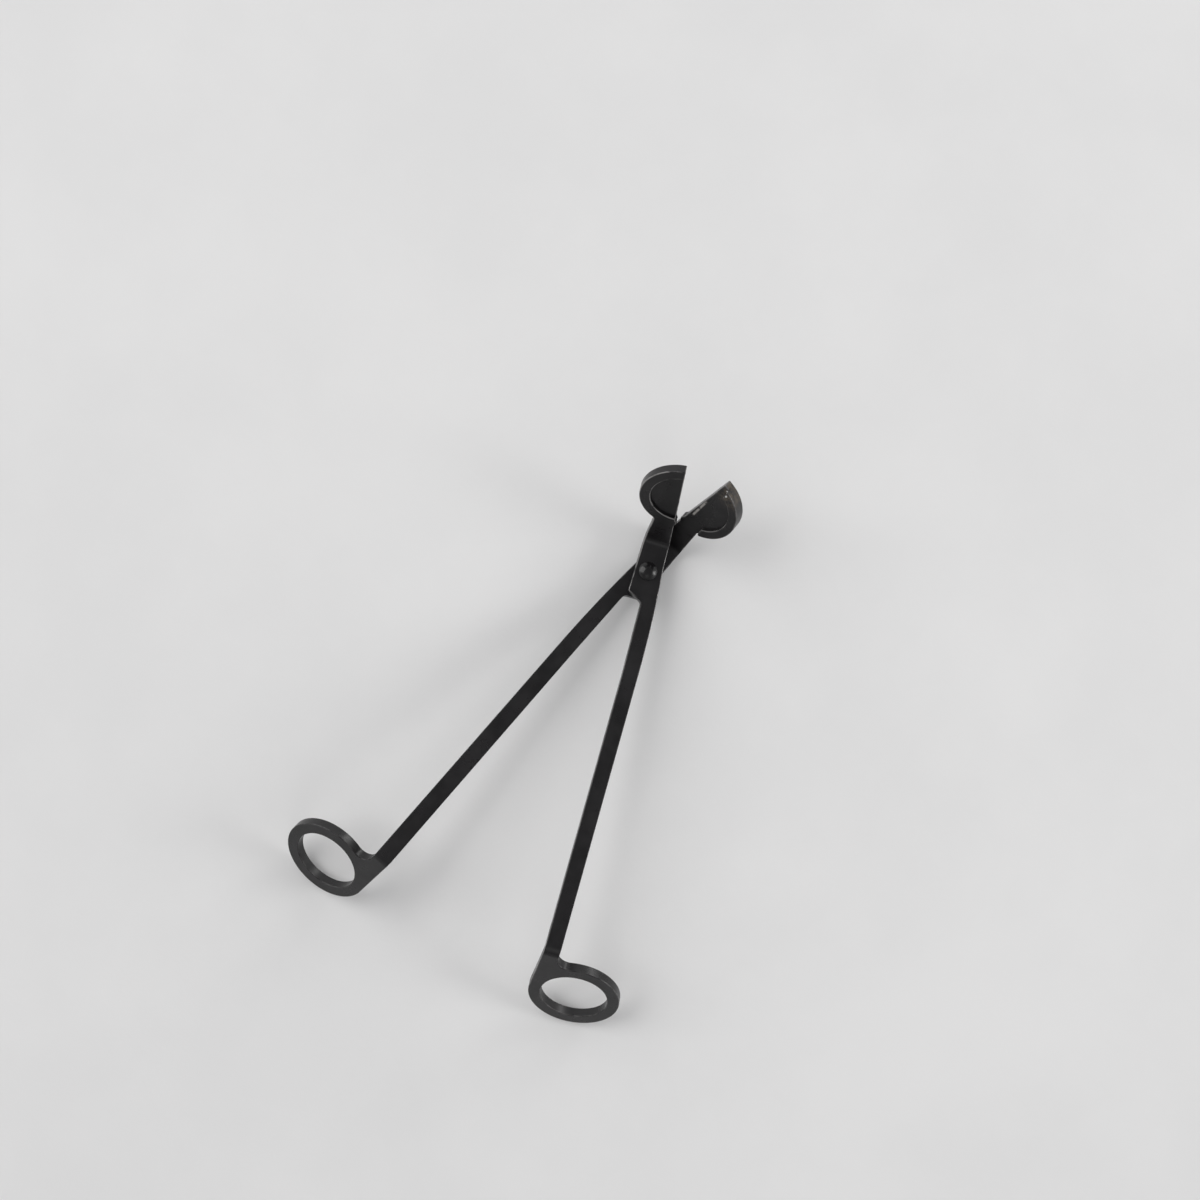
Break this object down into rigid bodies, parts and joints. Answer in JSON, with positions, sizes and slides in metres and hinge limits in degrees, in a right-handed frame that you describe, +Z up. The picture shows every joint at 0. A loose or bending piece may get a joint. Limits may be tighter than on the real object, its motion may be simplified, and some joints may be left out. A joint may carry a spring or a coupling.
{
  "type": "wick trimmer",
  "caption": "Black steel wick trimmer: crossed levers on a domed rivet, with angled half-disc blades at one end and bent-down finger rings at the other.",
  "frame": {"origin": "on the table, under the middle of the object's box, with the trimmer lying on its two finger rings and the fold of its lower neck", "axes": "+Z up, +Y from the finger rings to the heads along the line midway between the two arms, +X to the upper lever's finger ring"},
  "size_m": [0.1216, 0.1812, 0.0369],
  "materials": {
    "black_coating": "satin black coating, slightly worn to a paler streak along the cutting edges",
    "black_rivet": "satin black coating, a little glossier than the plate"
  },
  "bodies": {
    "lower": {"lower_lever": "black_coating", "pivot_rivet": "black_rivet"},
    "upper": {"upper_lever": "black_coating"}
  },
  "joints": [
    {"name": "pivot", "type": "hinge", "parent": "lower", "child": "upper", "pos_m": [0.00017, 0.05332, 0.0052], "axis": [0.0349, 0.1723, 0.9844], "range_deg": [-25.5, 34.8]}
  ]
}
